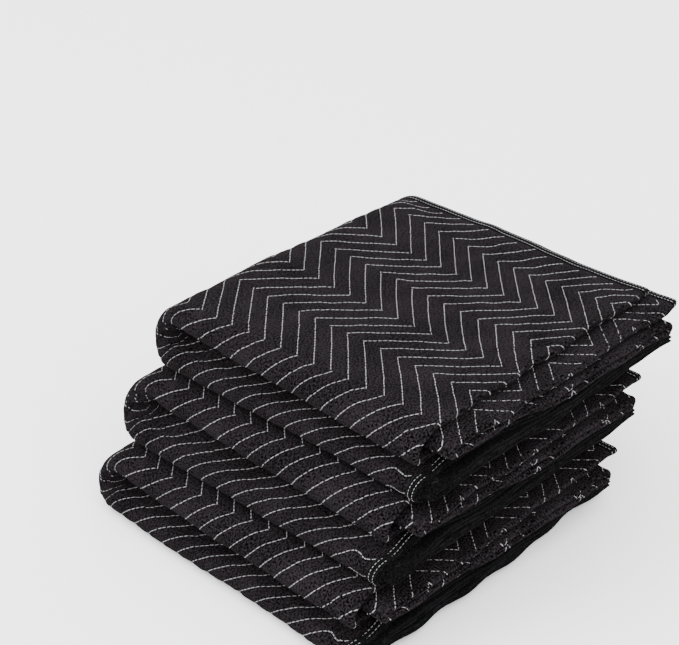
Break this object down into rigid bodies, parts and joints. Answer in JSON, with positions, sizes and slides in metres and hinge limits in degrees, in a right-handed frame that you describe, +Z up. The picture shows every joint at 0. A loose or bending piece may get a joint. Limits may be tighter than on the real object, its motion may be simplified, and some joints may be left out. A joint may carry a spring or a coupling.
{
  "type": "stack of moving blankets",
  "caption": "Quilted moving blankets with bound edges, each folded into a thick rectangular pad and piled one on another, for wrapping furniture.",
  "frame": {"origin": "middle of the stack's box in plan, on the surface that it rests on", "axes": "+Z up; -Y towards the long rounded front rolls; +X towards the side where the folds and the bound ends show"},
  "size_m": [0.5126, 0.6042, 0.2589],
  "materials": {
    "cloth_top": "near-black quilted non-woven cloth with pale zigzag stitching",
    "tape_top": "black woven binding tape with rows of pale stitching",
    "cloth_middle": "near-black quilted non-woven cloth with pale zigzag stitching",
    "tape_middle": "black woven binding tape with rows of pale stitching",
    "cloth_bottom": "near-black quilted non-woven cloth with pale zigzag stitching",
    "tape_bottom": "black woven binding tape with rows of pale stitching"
  },
  "bodies": {
    "root": {"blanket_top": "cloth_top", "binding_top": "tape_top", "blanket_middle": "cloth_middle", "binding_middle": "tape_middle", "blanket_bottom": "cloth_bottom", "binding_bottom": "tape_bottom"}
  },
  "joints": []
}
